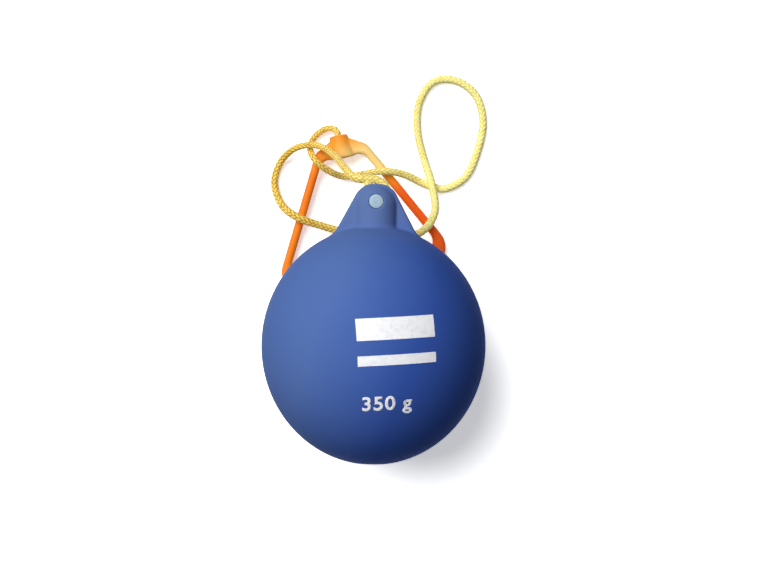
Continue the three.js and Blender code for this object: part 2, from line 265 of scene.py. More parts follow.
tones = {"Factor": add(tree, "ShaderNodeMapRange", inputs)}
# Painted light and shade: the ramps colour the ply hollows dark and the crests pale
for end, codes in (("A", CORD_GOLDEN), ("B", CORD_BLEACHED)):
    ramp = add(tree, "ShaderNodeValToRGB", {0: level})
    tones[end] = shades(ramp, *zip(CORD_STOPS, codes))
tone = add(tree, "ShaderNodeMix", tones, data_type="RGBA")
inputs = {"Vector": place, "Scale": 1 / FIBRE_WIDTH, "Detail": 2.0}
fibres = add(tree, "ShaderNodeTexNoise", inputs)
inputs = {"Height": fibres, "Strength": 0.35, "Distance": BUMP_HEIGHT}
finish = {
    "Base Color": tone,
    # Painted light: the cord glows faintly in its own colour, which lightens its shade
    "Emission Color": tone,
    "Emission Strength": 0.16,
    "Normal": add(tree, "ShaderNodeBump", inputs),
    "Roughness": 0.5,
    "Specular IOR Level": 0.3,
}
wire(tree, shader, finish)


braid_sizes = {
    "Radius": CORD_RADIUS,
    "Plies": PLIES,
    "Pitch": BRAID_PITCH,
    "Ply Crown": PLY_CROWN,
    "Ply Lift": PLY_LIFT,
    "Ring Spacing": RING_SPACING,
    "Ring Points": RING_POINTS,
    "Tight At": boss_mouth,
    "Tight Within": TIGHT_WITHIN,
    "Slack Beyond": SLACK_BEYOND,
    "Tight Share": TIGHT_SHARE,
}


def braid_tree():
    """Geometry Nodes that sweep a tube along a curve and raise the plies of a braid on it."""
    tree = bpy.data.node_groups.new("hollow_braid", "GeometryNodeTree")
    tree.interface.new_socket("Geometry", in_out="INPUT", socket_type="NodeSocketGeometry")
    kinds = {float: "NodeSocketFloat", int: "NodeSocketInt", Vector: "NodeSocketVector"}
    for name, size in braid_sizes.items():
        tree.interface.new_socket(name, in_out="INPUT", socket_type=kinds[type(size)])
    tree.interface.new_socket("Geometry", in_out="OUTPUT", socket_type="NodeSocketGeometry")
    given = add(tree, "NodeGroupInput", {}).outputs
    inputs = {"Curve": given["Geometry"], "Length": given["Ring Spacing"]}
    line = add(tree, "GeometryNodeResampleCurve", inputs, mode="LENGTH")
    length = add(tree, "GeometryNodeSplineParameter", {}).outputs["Length"]
    route = add(tree, "GeometryNodeCaptureAttribute", {"Geometry": line}, domain="POINT")
    route.capture_items.new("FLOAT", "Along")
    wire(tree, route, {"Along": length})
    inputs = {"Resolution": given["Ring Points"], "Radius": given["Radius"]}
    circle = add(tree, "GeometryNodeCurvePrimitiveCircle", inputs)
    share = add(tree, "GeometryNodeSplineParameter", {}).outputs["Factor"]
    ring = add(tree, "GeometryNodeCaptureAttribute", {"Geometry": circle}, domain="POINT")
    ring.capture_items.new("FLOAT", "Around")
    wire(tree, ring, {"Around": share})
    here = add(tree, "GeometryNodeInputPosition", {})
    inputs = {0: here, 1: given["Tight At"]}
    away = add(tree, "ShaderNodeVectorMath", inputs, operation="DISTANCE")
    inputs = {"From Min": given["Tight Within"], "From Max": given["Slack Beyond"]}
    inputs.update({"Value": away, "To Min": given["Tight Share"]})
    drawn = add(tree, "ShaderNodeMapRange", inputs)
    inputs = {"Curve": route, "Profile Curve": ring, "Scale": drawn, "Fill Caps": True}
    tube = add(tree, "GeometryNodeCurveToMesh", inputs)

    inputs = {0: route.outputs["Along"], 1: given["Pitch"]}
    turns = add(tree, "ShaderNodeMath", inputs, operation="DIVIDE")
    hands = []
    for direction in (1, -1):
        inputs = {0: turns, 1: direction, 2: ring.outputs["Around"]}
        wound = add(tree, "ShaderNodeMath", inputs, operation="MULTIPLY_ADD")
        inputs = {0: wound, 1: given["Plies"]}
        hands.append(add(tree, "ShaderNodeMath", inputs, operation="MULTIPLY"))
    heights = []
    for across, along, over in ((hands[0], hands[1], 1), (hands[1], hands[0], -1)):
        share = add(tree, "ShaderNodeMath", {0: across}, operation="FRACT")
        offset = add(tree, "ShaderNodeMath", {0: share, 1: 2, 2: -1}, operation="MULTIPLY_ADD")
        square = add(tree, "ShaderNodeMath", {0: offset, 1: 2}, operation="POWER")
        inputs = {0: square, 1: -PLY_ROUNDNESS, 2: 1}
        fall = add(tree, "ShaderNodeMath", inputs, operation="MULTIPLY_ADD")
        arch = add(tree, "ShaderNodeMath", {0: fall}, operation="SQRT")
        ply = add(tree, "ShaderNodeMath", {0: across}, operation="FLOOR")
        count = add(tree, "ShaderNodeMath", {0: along, 1: ply}, operation="ADD")
        beat = add(tree, "ShaderNodeMath", {0: count, 1: math.pi / 2}, operation="MULTIPLY")
        sine = add(tree, "ShaderNodeMath", {0: beat}, operation="SINE")
        inputs = {0: sine, 1: PLY_STEEPNESS * over}
        wave = add(tree, "ShaderNodeMath", inputs, operation="MULTIPLY")
        wave = add(tree, "ShaderNodeMath", {0: wave, 1: 1}, operation="MINIMUM")
        wave = add(tree, "ShaderNodeMath", {0: wave, 1: -1}, operation="MAXIMUM")
        lifted = add(tree, "ShaderNodeMath", {0: wave, 1: given["Ply Lift"]}, operation="MULTIPLY")
        inputs = {0: arch, 1: given["Ply Crown"], 2: lifted}
        heights.append(add(tree, "ShaderNodeMath", inputs, operation="MULTIPLY_ADD"))
    top = add(tree, "ShaderNodeMath", {0: heights[0], 1: heights[1]}, operation="MAXIMUM")
    inputs = {0: given["Ply Crown"], 1: given["Ply Lift"]}
    full = add(tree, "ShaderNodeMath", inputs, operation="ADD")
    sunk = add(tree, "ShaderNodeMath", {0: top, 1: full}, operation="SUBTRACT")
    normal = add(tree, "GeometryNodeInputNormal", {})
    shift = add(tree, "ShaderNodeVectorMath", {0: normal, "Scale": sunk}, operation="SCALE")
    raised = add(tree, "GeometryNodeSetPosition", {"Geometry": tube, "Offset": shift})
    dip = add(tree, "ShaderNodeMath", {0: top, 1: full}, operation="DIVIDE")
    kept = {"data_type": "FLOAT", "domain": "POINT"}
    for name, value in (("dip", dip), ("along", route.outputs["Along"])):
        inputs = {"Geometry": raised, "Name": name, "Value": value}
        raised = add(tree, "GeometryNodeStoreNamedAttribute", inputs, **kept)
    smooth = add(tree, "GeometryNodeSetShadeSmooth", {"Geometry": raised})
    real = add(tree, "GeometryNodeRealizeInstances", {"Geometry": smooth})
    inputs = {"Geometry": real, "Material": braid_material}
    finished = add(tree, "GeometryNodeSetMaterial", inputs)
    add(tree, "NodeGroupOutput", {"Geometry": finished})
    return tree


hollow_braid = braid_tree()


def woven(name, path):
    """A mesh of one braided length that follows a list of points."""
    line = bpy.data.curves.new(name + "_line", "CURVE")
    line.dimensions = "3D"
    spline = line.splines.new("POLY")
    spline.points.add(len(path) - 1)
    for point, place in zip(spline.points, path):
        point.co = (*place, 1)
    rope = placed(name + "_line", line)
    weave = rope.modifiers.new("braid", "NODES")
    weave.node_group = hollow_braid
    for item in hollow_braid.interface.items_tree:
        if item.name in braid_sizes:
            weave[item.identifier] = braid_sizes[item.name]
    graph = bpy.context.evaluated_depsgraph_get()
    mesh = bpy.data.meshes.new_from_object(rope.evaluated_get(graph), depsgraph=graph)
    bpy.data.objects.remove(rope)
    return mesh


def stretch(name, source, start, end, extra=None):
    """A piece holding the weave between two distances along it, closed at both ends."""
    work = bmesh.new()
    work.from_mesh(source)
    along = work.verts.layers.float["along"]
    outside = [v for v in work.verts if not start <= v[along] <= end]
    bmesh.ops.delete(work, geom=outside, context="VERTS")
    bmesh.ops.holes_fill(work, edges=[e for e in work.edges if e.is_boundary], sides=0)
    if extra:
        work.from_mesh(extra)
    data = bpy.data.meshes.new(name)
    work.to_mesh(data)
    work.free()
    data.materials.append(braid_material)
    return placed(name, data)


pin_centre = Vector((0, PIN_Y, BALL_CENTRE.z))
throat_centre = Vector((EYE_RADIUS - THROAT_ARC_RADIUS, THROAT_ARC_Y, BALL_CENTRE.z))
throat = throat_centre + Vector((-THROAT_LEAD, THROAT_ARC_RADIUS, 0))
eye_points = []
for step in range(EYE_STEPS + 1):
    angle = math.pi * (1 + step / EYE_STEPS)
    eye_points.append(pin_centre + EYE_RADIUS * Vector((math.cos(angle), math.sin(angle), 0)))
for step in range(THROAT_STEPS + 1):
    angle = math.pi / 2 * step / THROAT_STEPS
    eye_points.append(
        throat_centre + THROAT_ARC_RADIUS * Vector((math.cos(angle), math.sin(angle), 0))
    )
eye_points.append(throat)

cord_start = throat + Vector((-TOUCH, 0, 0))
cord_end = boss_mouth + boss_axis * TOUCH
cord_points = [cord_start, cord_start + Vector((-CORD_RADIUS, 0, 0))]
cord_points += [Vector(point) * MM for point in CORD_ROUTE]
cord_points += [boss_mouth + boss_axis * MOUTH_LEAD, cord_end]
cord_line = smooth_path(cord_points, RING_SPACING)

# Stopper knot: the cord's last stretch runs through the boss and ends in an overhand knot
# pulled up in the seat at the boss's wide end
KNOT_SEAT_RADIUS = 6
KNOT_SEAT_DEPTH = 7
KNOT_RADIUS = KNOT_SEAT_RADIUS * MM - TOUCH
KNOT_RISE = 0.9 * MM
KNOT_STEPS = 24
PAST_ITS_END = 10
knot_top = -BOSS_END_AT * MM + KNOT_SEAT_DEPTH * MM - TOUCH
knot_middle = knot_top - (KNOT_SEAT_DEPTH * MM - TOUCH) / 2
knot_points = [
    Vector((0, -BOSS_TOP_AT * MM, 0)),
    Vector((0, knot_top + CORD_RADIUS, 0)),
    Vector((0, knot_top - CORD_RADIUS, 0)),
]
for step in range(1, KNOT_STEPS + 1):
    angle = 2 * math.pi * step / KNOT_STEPS
    swing = (2 + math.cos(3 * angle)) / 3 * (KNOT_RADIUS - CORD_RADIUS)
    height = knot_middle + math.sin(3 * angle) * KNOT_RISE
    knot_points.append(
        Vector((swing * math.sin(2 * angle), height, swing * math.cos(2 * angle)))
    )
knot_points = [to_handle @ point for point in knot_points]


def length_of(points):
    return sum((b - a).length for a, b in zip(points, points[1:]))


eye_line = smooth_path(eye_points, RING_SPACING)
knot_line = smooth_path(knot_points, RING_SPACING)
whole_line = eye_line + cord_line + knot_line
cord_length = length_of(cord_line)
cord_from = length_of(eye_line + cord_line[:1])
cord_to = cord_from + cord_length
weave_mesh = woven("tether", whole_line)
tail_top = Vector((TAIL_LEAN - EYE_RADIUS, throat.y - CORD_RADIUS / 2, BALL_CENTRE.z))
tail_line = smooth_path([tail_top, Vector((-EYE_RADIUS, PIN_Y, BALL_CENTRE.z))], RING_SPACING)

cord_eye = stretch("braided_eye", weave_mesh, -PAST_ITS_END, cord_from, woven("tail", tail_line))
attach(cord_eye, "tether")
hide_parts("cord_eye")

cord = stretch("braided_cord", weave_mesh, cord_from - RING_SPACING, cord_to)
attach(cord, "tether")
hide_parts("cord")

knot = stretch("overhand_knot", weave_mesh, cord_to - RING_SPACING, PAST_ITS_END)
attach(knot, "tether")
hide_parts("stopper_knot")


# Ball: soft PVC, moulded hollow in one piece with its lug. The lug is a round column with a
# domed, flat-cut top and a thin fin on each side, split by the slot that the cord's eye
# turns in. The shape is one signed-distance field, so every corner has its moulded radius.
BALL_WALL = 3
COLUMN_RADIUS = 14
COLUMN_RISE = 12.6
FIN_RADIUS = 14.8
FIN_DROP = 0.4
FIN_THICKNESS = 12
FIN_FLANK = math.radians(28)
LUG_FLAT_Y = 101
LUG_ROOT_Y = 40
FIN_EDGE = 1.6
COLUMN_BLEND = 1
LUG_TOP_EDGE = 1.2
FOOT_BLEND = 3
SLOT_THICKNESS = 6.8
SLOT_EDGE = 1
SLOT_FLOOR_CLEARANCE = 0.6
PIN_HOLE_RADIUS = 4.5
PIN_RIM_RADIUS = 4.9
PIN_RIM_DEPTH = 0.6
PIN_HOLE_EDGE = 0.3
PIN_RIM_EDGE = 0.4
FILLER_BORE_RADIUS = 9
FILLER_BORE_TO_Y = -40
FILLER_EDGE = 0.5
PLUG_HEAD_RADIUS = 12
PLUG_HEAD_DEPTH = 2
PLUG_STEM_LENGTH = 7
FILLER_BOSS_WALL = 3.5
FILLER_BOSS_BLEND = 1
WALL_EDGE = 0.6
column_y = BALL_HALF_LENGTH / MM + COLUMN_RISE
fin_y = column_y - FIN_DROP
slot_floor_y = (PIN_Y - EYE_RADIUS - CORD_RADIUS) / MM - SLOT_FLOOR_CLEARANCE
pin_y = PIN_Y / MM
lug_half_at_pin = math.sqrt(COLUMN_RADIUS**2 - (pin_y - column_y) ** 2)


def join(a, b, blend):
    """The union of two distance fields, with a fillet of about the given size."""
    near = np.maximum(blend - np.abs(a - b), 0) / blend
    return np.minimum(a, b) - near * near * blend / 4


def cut(a, b, blend):
    """The first field less the second, with its edges rounded off."""
    return -join(-a, b, blend)


SETTLING_ROUNDS = 4
SLOPE_STEP = 0.02
LEAST_STEEPNESS = 0.2
LONGEST_MOVE = 0.25


def moulded(name, field, lines):
    """A closed mesh of a distance field's zero surface on a grid of the given lines, in mm."""
    grid = np.stack(np.meshgrid(*lines, indexing="ij"), -1)
    size = grid.shape[:3]
    value = np.concatenate([field(part.reshape(-1, 3)) for part in grid]).reshape(size)
    inside = value < 0
    cells = tuple(n - 1 for n in size)

    def corner(array, i, j, k):
        return array[i : i + cells[0], j : j + cells[1], k : k + cells[2]]

    count = sum(corner(inside, *c).astype(np.int8) for c in np.ndindex(2, 2, 2))
    border = (count > 0) & (count < 8)
    number = np.full(cells, -1)
    number[border] = np.arange(border.sum())
    total = np.zeros((border.sum(), 3))
    hits = np.zeros(border.sum())
    for axis in range(3):
        for side in np.ndindex(2, 2):
            start = list(side)
            start.insert(axis, 0)
            end = list(side)
            end.insert(axis, 1)
            a = corner(value, *start)[border]
            b = corner(value, *end)[border]
            crossed = (a < 0) != (b < 0)
            share = np.where(crossed, a / np.where(crossed, a - b, 1), 0)[:, None]
            low = corner(grid, *start)[border]
            high = corner(grid, *end)[border]
            total += np.where(crossed[:, None], low + (high - low) * share, 0)
            hits += crossed
    points = total / hits[:, None]
    for _ in range(SETTLING_ROUNDS):
        here = field(points)
        slope = np.zeros_like(points)
        for axis in range(3):
            step = np.zeros(3)
            step[axis] = SLOPE_STEP
            rise = field(points + step) - field(points - step)
            slope[:, axis] = rise / (2 * SLOPE_STEP)
        steepness = np.maximum((slope**2).sum(1), LEAST_STEEPNESS)
        move = -(here / steepness)[:, None] * slope
        length = np.linalg.norm(move, axis=1, keepdims=True)
        points = points + move * np.minimum(1, LONGEST_MOVE / np.maximum(length, 1e-9))
    faces = []
    for axis in range(3):
        others = [a for a in range(3) if a != axis]
        low = [slice(1, -1)] * 3
        low[axis] = slice(0, -1)
        high = [slice(1, -1)] * 3
        high[axis] = slice(1, None)
        a = inside[tuple(low)]
        b = inside[tuple(high)]
        ring = []
        for first, second in ((1, 1), (0, 1), (0, 0), (1, 0)):
            part = [slice(None)] * 3
            part[others[0]] = slice(first, first + size[others[0]] - 2)
            part[others[1]] = slice(second, second + size[others[1]] - 2)
            ring.append(number[tuple(part)])
        quad = np.stack(ring, -1)
        turned = 1 if axis == 1 else -1
        faces.append(quad[a & ~b][:, ::-turned])
        faces.append(quad[~a & b][:, ::turned])
    quads = np.concatenate(faces)
    mesh = bpy.data.meshes.new(name)
    mesh.from_pydata(points.tolist(), [], quads.tolist())
    mesh.polygons.foreach_set("use_smooth", [True] * len(mesh.polygons))
    return placed(name, mesh)


def ellipsoid(p, radius, half_length):
    scaled = p / np.array([radius, half_length, radius])
    near = np.linalg.norm(scaled, axis=1)
    steep = np.linalg.norm(scaled / np.array([radius, half_length, radius]), axis=1)
    return near * (near - 1) / np.maximum(steep, 1e-6)


def ball_field(p):
    x, y, z = p.T
    body = ellipsoid(p, BALL_RADIUS / MM, BALL_HALF_LENGTH / MM)
    above = np.maximum(y - column_y, 0)
    column = np.sqrt(x**2 + above**2 + z**2) - COLUMN_RADIUS
    side = np.abs(x)
    up = y - fin_y
    flank = side * math.cos(FIN_FLANK) + up * math.sin(FIN_FLANK) - FIN_RADIUS
    rounded = np.hypot(side, up) - FIN_RADIUS
    on_round = up * math.cos(FIN_FLANK) - side * math.sin(FIN_FLANK) > 0
    fins = np.where(on_round, rounded, flank)
    fins = cut(fins, FIN_THICKNESS / 2 - np.abs(z), FIN_EDGE)
    lug = join(column, fins, COLUMN_BLEND)
    lug = cut(lug, LUG_FLAT_Y - y, LUG_TOP_EDGE)
    lug = np.maximum(lug, LUG_ROOT_Y - y)
    skin = np.maximum(join(body, lug, FOOT_BLEND), -BALL_CENTRE.z / MM - z)
    hollow = ellipsoid(p, BALL_RADIUS / MM - BALL_WALL, BALL_HALF_LENGTH / MM - BALL_WALL)
    axis = np.hypot(x, z)
    plug_seat = -BALL_HALF_LENGTH / MM + PLUG_HEAD_DEPTH
    boss = np.maximum(
        axis - PLUG_HEAD_RADIUS - FILLER_BOSS_WALL, y - plug_seat - PLUG_STEM_LENGTH
    )
    shell = cut(skin, cut(hollow, boss, FILLER_BOSS_BLEND), WALL_EDGE)
    filler_bore = np.maximum(axis - FILLER_BORE_RADIUS, y - FILLER_BORE_TO_Y)
    shell = cut(shell, filler_bore, FILLER_EDGE)
    shell = cut(shell, np.maximum(axis - PLUG_HEAD_RADIUS, y - plug_seat), FILLER_EDGE)
    slot = np.maximum(np.abs(z) - SLOT_THICKNESS / 2, slot_floor_y - y)
    shell = cut(shell, slot, SLOT_EDGE)
    across = np.hypot(x, y - pin_y)
    shell = cut(shell, across - PIN_HOLE_RADIUS, PIN_HOLE_EDGE)
    rim = np.maximum(across - PIN_RIM_RADIUS, lug_half_at_pin - PIN_RIM_DEPTH - np.abs(z))
    return cut(shell, rim, PIN_RIM_EDGE)


def spaced(*stretches):
    """Grid lines along an axis, from (start, end, spacing) stretches that follow on."""
    lines = [np.linspace(a, b, max(2, round((b - a) / gap)) + 1)[:-1] for a, b, gap in stretches]
    return np.concatenate([*lines, [stretches[-1][1]]])


COARSE = 1.7
MEDIUM = 1.3
FINE = 0.86
ball = moulded(
    "moulded_ball",
    ball_field,
    (
        spaced((-72, -17, COARSE), (-17, 17, FINE), (17, 72, COARSE)),
        spaced((-77, -62, MEDIUM), (-62, 64, COARSE), (64, 80, MEDIUM), (80, 103, FINE)),
        spaced((-72, -16, COARSE), (-16, 16, FINE), (16, 72, COARSE)),
    ),
)
ball.data.transform(Matrix.Translation(BALL_CENTRE) @ Matrix.Scale(MM, 4))

# Soft PVC, rotationally moulded: satin blue, with a few pale specks. Its colour is painted
# lighter and greyer on the lamp's side and a deeper blue on the side away from it (painted
# light and shade), and paler still on the lug (a painted sheen). The mould's fine grain is
# drawn coarser than it is, so that it shows.
PVC_SHADED_SIDE = "#3b5eb6"
PVC_LIT_SIDE = "#5977b8"
PVC_PAINTED_SHEEN = "#7589ae"
PVC_SPECK = "#aebbd2"
LIT_SIDE_DIRECTION = (-0.953, 0.303, 0)
LIT_SIDE_FROM = -0.35
LIT_SIDE_TO = 0.52
LUG_FROM_Y = 64 * MM
LUG_TO_Y = 79 * MM
LUG_SHEEN_SHARE = 0.42
CLOUD_SIZE = 35.7 * MM
CLOUD_SWING = 0.3
MOULD_GRAIN = 0.667 * MM
SPECK_SPACING = 23.8 * MM
SPECK_CORE = 0.238 * MM
SPECK_EDGE = 0.476 * MM
SPECK_SHARE = 0.5
pvc, tree, shader, place = material("soft_pvc_blue")
inputs = {"Vector": place, "Scale": 1 / CLOUD_SIZE, "Detail": 4.0}
cloud = add(tree, "ShaderNodeTexNoise", inputs)
# Painted light and shade: the blue is mixed towards a paler, greyer tone on the lamp's side and
# towards a deeper blue away from it
inputs = {0: place, 1: BALL_CENTRE}
from_middle = add(tree, "ShaderNodeVectorMath", inputs, operation="SUBTRACT")
inputs = {0: from_middle, 1: LIT_SIDE_DIRECTION}
towards = add(tree, "ShaderNodeVectorMath", inputs, operation="DOT_PRODUCT")
inputs = {"From Min": LIT_SIDE_FROM * BALL_RADIUS, "From Max": LIT_SIDE_TO * BALL_RADIUS}
lit_side_share = add(tree, "ShaderNodeMapRange", {"Value": towards, **inputs})
inputs = {0: cloud, 1: CLOUD_SWING, 2: -CLOUD_SWING / 2}
uneven = add(tree, "ShaderNodeMath", inputs, operation="MULTIPLY_ADD")
inputs = {0: lit_side_share, 1: uneven}
lit_side_and_cloud = add(tree, "ShaderNodeMath", inputs, operation="ADD", use_clamp=True)
inputs = {"Factor": lit_side_and_cloud, "A": colour(PVC_SHADED_SIDE), "B": colour(PVC_LIT_SIDE)}
painted_lit_skin_tone = add(tree, "ShaderNodeMix", inputs, data_type="RGBA")
# Painted sheen: the colour is mixed towards a paler grey-blue up the lug
along_y = add(tree, "ShaderNodeSeparateXYZ", {0: place}).outputs["Y"]
inputs = {"From Min": LUG_FROM_Y, "From Max": LUG_TO_Y, "To Max": LUG_SHEEN_SHARE}
painted_lug_sheen = add(tree, "ShaderNodeMapRange", {"Value": along_y, **inputs})
inputs = {"Factor": painted_lug_sheen, "A": painted_lit_skin_tone, "B": colour(PVC_PAINTED_SHEEN)}
tone_with_lug_sheen = add(tree, "ShaderNodeMix", inputs, data_type="RGBA")
specks = add(tree, "ShaderNodeTexVoronoi", {"Vector": place, "Scale": 1 / SPECK_SPACING})
inputs = {"From Min": SPECK_CORE / SPECK_SPACING, "From Max": SPECK_EDGE / SPECK_SPACING}
inputs.update({"Value": specks, "To Min": SPECK_SHARE, "To Max": 0.0})
speckled = add(tree, "ShaderNodeMapRange", inputs)
inputs = {"Factor": speckled, "A": tone_with_lug_sheen, "B": colour(PVC_SPECK)}
tone = add(tree, "ShaderNodeMix", inputs, data_type="RGBA")
inputs = {"Vector": place, "Scale": 1 / MOULD_GRAIN, "Detail": 2.0}
grain = add(tree, "ShaderNodeTexNoise", inputs)
inputs = {"Height": grain, "Strength": 0.12, "Distance": BUMP_HEIGHT}
finish = {
    "Base Color": tone,
    "Normal": add(tree, "ShaderNodeBump", inputs),
    "Roughness": add(tree, "ShaderNodeMapRange", {"Value": cloud, "To Min": 0.58, "To Max": 0.7}),
    "IOR": 1.5,
    "Specular IOR Level": 0.02,
}
wire(tree, shader, finish)
ball.data.materials.append(pvc)
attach(ball, "head")
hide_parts("ball_shell")

# Pin: an aluminium rod pressed across the lug, sunk a little in its hole, with its ends
# swollen by the press and their edges rounded
PIN_RECESS = 0.8
PIN_EDGE = 0.45
PIN_CROWN = 0.06
PIN_SWELL_RADIUS = 4.4
PIN_SWELL_LENGTH = 4
PIN_SWELL_SLOPE = 0.4
PIN_SIDES = 96
EDGE_STEPS = 6


def spun(name, profile, turns, axis_matrix, coat):
    """A closed body of revolution: (radius, height) points in mm, spun about the local Z."""
    mesh = bmesh.new()
    rings = []
    for radius, height in profile:
        if radius == 0:
            rings.append([mesh.verts.new((0, 0, height * MM))] * turns)
            continue
        ring = []
        for turn in range(turns):
            angle = 2 * math.pi * turn / turns
            out = radius * MM
            spot = (out * math.cos(angle), out * math.sin(angle), height * MM)
            ring.append(mesh.verts.new(spot))
        rings.append(ring)
    for low, high in zip(rings, rings[1:]):
        for turn in range(turns):
            after = (turn + 1) % turns
            corners = [low[turn], low[after], high[after], high[turn]]
            mesh.faces.new(list(dict.fromkeys(corners)))
    bmesh.ops.recalc_face_normals(mesh, faces=mesh.faces)
    data = bpy.data.meshes.new(name)
    mesh.to_mesh(data)
    mesh.free()
    data.polygons.foreach_set("use_smooth", [True] * len(data.polygons))
    data.transform(axis_matrix)
    data.materials.append(coat)
    return placed(name, data)


def rounded_end(radius, height, edge):
    """Profile points over an end: a flat with a slight crown, and a round edge of small arcs."""
    points = []
    for step in range(EDGE_STEPS + 1):
        angle = math.pi / 2 * step / EDGE_STEPS
        out = radius - edge + edge * math.sin(angle)
        points.append((out, height - edge * (1 - math.cos(angle))))
    middle = (0, height + PIN_CROWN)
    half_way = ((radius - edge) / 2, height + PIN_CROWN * 3 / 4)
    return [middle, half_way, *points]


# Aluminium rod, sawn and tumbled: pale and dull, its colour tinted slightly blue as a painted
# reflection of the ball around it, with the tumbling's small marks drawn coarser than they are
TUMBLING_MARK = 1.11 * MM
aluminium, tree, shader, place = material("tumbled_aluminium")
inputs = {"Vector": place, "Scale": 1 / TUMBLING_MARK, "Detail": 3.0}
tumble = add(tree, "ShaderNodeTexNoise", inputs)
# Painted reflection: both colours of the ramp are tinted blue, like the ball around the pin
ramp = add(tree, "ShaderNodeValToRGB", {0: tumble})
inputs = {"Height": tumble, "Strength": 0.2, "Distance": BUMP_HEIGHT}
finish = {
    "Base Color": shades(ramp, (0, "#7d98a9"), (1, "#a3b8c4")),
    "Normal": add(tree, "ShaderNodeBump", inputs),
    "Metallic": 0.35,
    "Roughness": 0.5,
}
wire(tree, shader, finish)

pin_half = lug_half_at_pin - PIN_RECESS
pin_end = rounded_end(PIN_SWELL_RADIUS, pin_half, PIN_EDGE)
pin_end += [
    (PIN_SWELL_RADIUS, pin_half - PIN_SWELL_LENGTH),
    (PIN_RADIUS / MM, pin_half - PIN_SWELL_LENGTH - PIN_SWELL_SLOPE),
]
pin_profile = [(radius, -height) for radius, height in pin_end] + pin_end[::-1]
pin = spun("pressed_pin", pin_profile, PIN_SIDES, Matrix.Translation(pin_centre), aluminium)
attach(pin, "head")
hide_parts("lug_pin")

# Filler plug: a moulded stepped plug pressed into the filler hole, with a six-sided key
# recess. Its head follows the round of the ball, and its plastic is a shade darker.
KEY_RADIUS = 4.5
KEY_DEPTH = 4
PLUG_EDGE = 0.8
PLUG_BLEND = 0.4
PLUG_OVERLAP = 0.5
KEY_EDGE = 0.5
PLUG_LINES_APART = 0.35
plug_face = -BALL_HALF_LENGTH / MM + TOUCH / MM


def plug_field(p):
    x, y, z = p.T
    axis = np.hypot(x, z)
    seat = -BALL_HALF_LENGTH / MM + PLUG_HEAD_DEPTH - TOUCH / MM
    head = np.abs(y - (plug_face + seat) / 2) - (seat - plug_face) / 2
    head = cut(head, PLUG_HEAD_RADIUS - TOUCH / MM - axis, PLUG_EDGE)
    skin = ellipsoid(p, BALL_RADIUS / MM, BALL_HALF_LENGTH / MM)
    head = np.maximum(head, skin + TOUCH / MM)
    stem_end = -BALL_HALF_LENGTH / MM + PLUG_HEAD_DEPTH + PLUG_STEM_LENGTH
    stem = np.maximum(plug_face + PLUG_OVERLAP - y, y - stem_end)
    stem = cut(stem, FILLER_BORE_RADIUS - TOUCH / MM - axis, PLUG_EDGE)
    sides = []
    for side in range(3):
        angle = math.pi / 3 * side
        sides.append(np.abs(x * math.cos(angle) + z * math.sin(angle)))
    key = np.maximum.reduce(sides) - KEY_RADIUS * math.cos(math.pi / 6)
    key = np.maximum(key, y + BALL_HALF_LENGTH / MM - KEY_DEPTH)
    return cut(join(head, stem, PLUG_BLEND), key, KEY_EDGE)


plug_lines = spaced((-12.6, 12.6, PLUG_LINES_APART))
plug_depths = spaced((-75.2, -64.6, PLUG_LINES_APART))
plug = moulded("filler_stopper", plug_field, (plug_lines, plug_depths, plug_lines))
plug.data.transform(Matrix.Translation(BALL_CENTRE) @ Matrix.Scale(MM, 4))

# Polyethylene, injection moulded: dull blue, slightly cloudy from the melt's flow
FLOW_SIZE = 11.1 * MM
plug_plastic, tree, shader, place = material("moulded_polyethylene_blue")
inputs = {"Vector": place, "Scale": 1 / FLOW_SIZE, "Detail": 3.0}
cloud = add(tree, "ShaderNodeTexNoise", inputs)
tone = shades(add(tree, "ShaderNodeValToRGB", {0: cloud}), (0, "#2c4890"), (1, "#3350a0"))
wire(tree, shader, {"Base Color": tone, "Roughness": 0.5, "Specular IOR Level": 0.02})
plug.data.materials.append(plug_plastic)
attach(plug, "head")
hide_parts("filler_plug")

# Ballast: dry quartz sand, poured in through the filler hole. It lies loose in the bottom of
# the hollow, out of sight, and brings the head to its marked weight.
SAND_GRAIN = 0.714 * MM
sand, tree, shader, place = material("dry_quartz_sand")
grain = add(tree, "ShaderNodeTexVoronoi", {"Vector": place, "Scale": 1 / SAND_GRAIN})
ramp = add(tree, "ShaderNodeValToRGB", {0: grain})
inputs = {"Height": grain, "Strength": 0.8, "Distance": 2 * BUMP_HEIGHT}
finish = {
    "Base Color": shades(ramp, (0, "#d1ba8b"), (1, "#8a7346")),
    "Normal": add(tree, "ShaderNodeBump", inputs),
    "Roughness": 0.95,
}
wire(tree, shader, finish)
sand_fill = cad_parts["sand_fill"]
for index in range(max(1, len(sand_fill.data.materials))):
    if index < len(sand_fill.data.materials):
        sand_fill.data.materials[index] = sand
    else:
        sand_fill.data.materials.append(sand)

# Handle: one injection moulding, a three-sided frame with round-cornered legs, a round grip
# bar and a tapered boss with the cord's hole through it and a seat for the knot.
LEG_ANGLE = math.radians(28)
LEG_WIDTH = 5.6
FRAME_THICKNESS = 7.2
FRAME_EDGE = 2.5
CROWN_PEAK_AT = 17
CROWN_SLOPE = math.radians(29)
CROWN_INNER_AT = 32.3
OUTER_CORNER_RADIUS = 14
INNER_CORNER_RADIUS = 9
SHOULDER_RADIUS = 9
CROWN_INNER_RADIUS = 7
GRIP_END_ROUNDING = 0.3
GRIP_BLEND = 2
BOSS_EDGE = 1.2
BOSS_BLEND = 1
BORE_EDGE = 0.6
BORE_OVERRUN = 1
SEAT_OVERRUN = 3
HANDLE_LINES_APART = 0.7
BOSS_BORE_RADIUS = 3.1
BOSS_FACE_AT = 32.9


def edge_x(at, offset):
    return at * math.tan(LEG_ANGLE) + offset / math.cos(LEG_ANGLE)


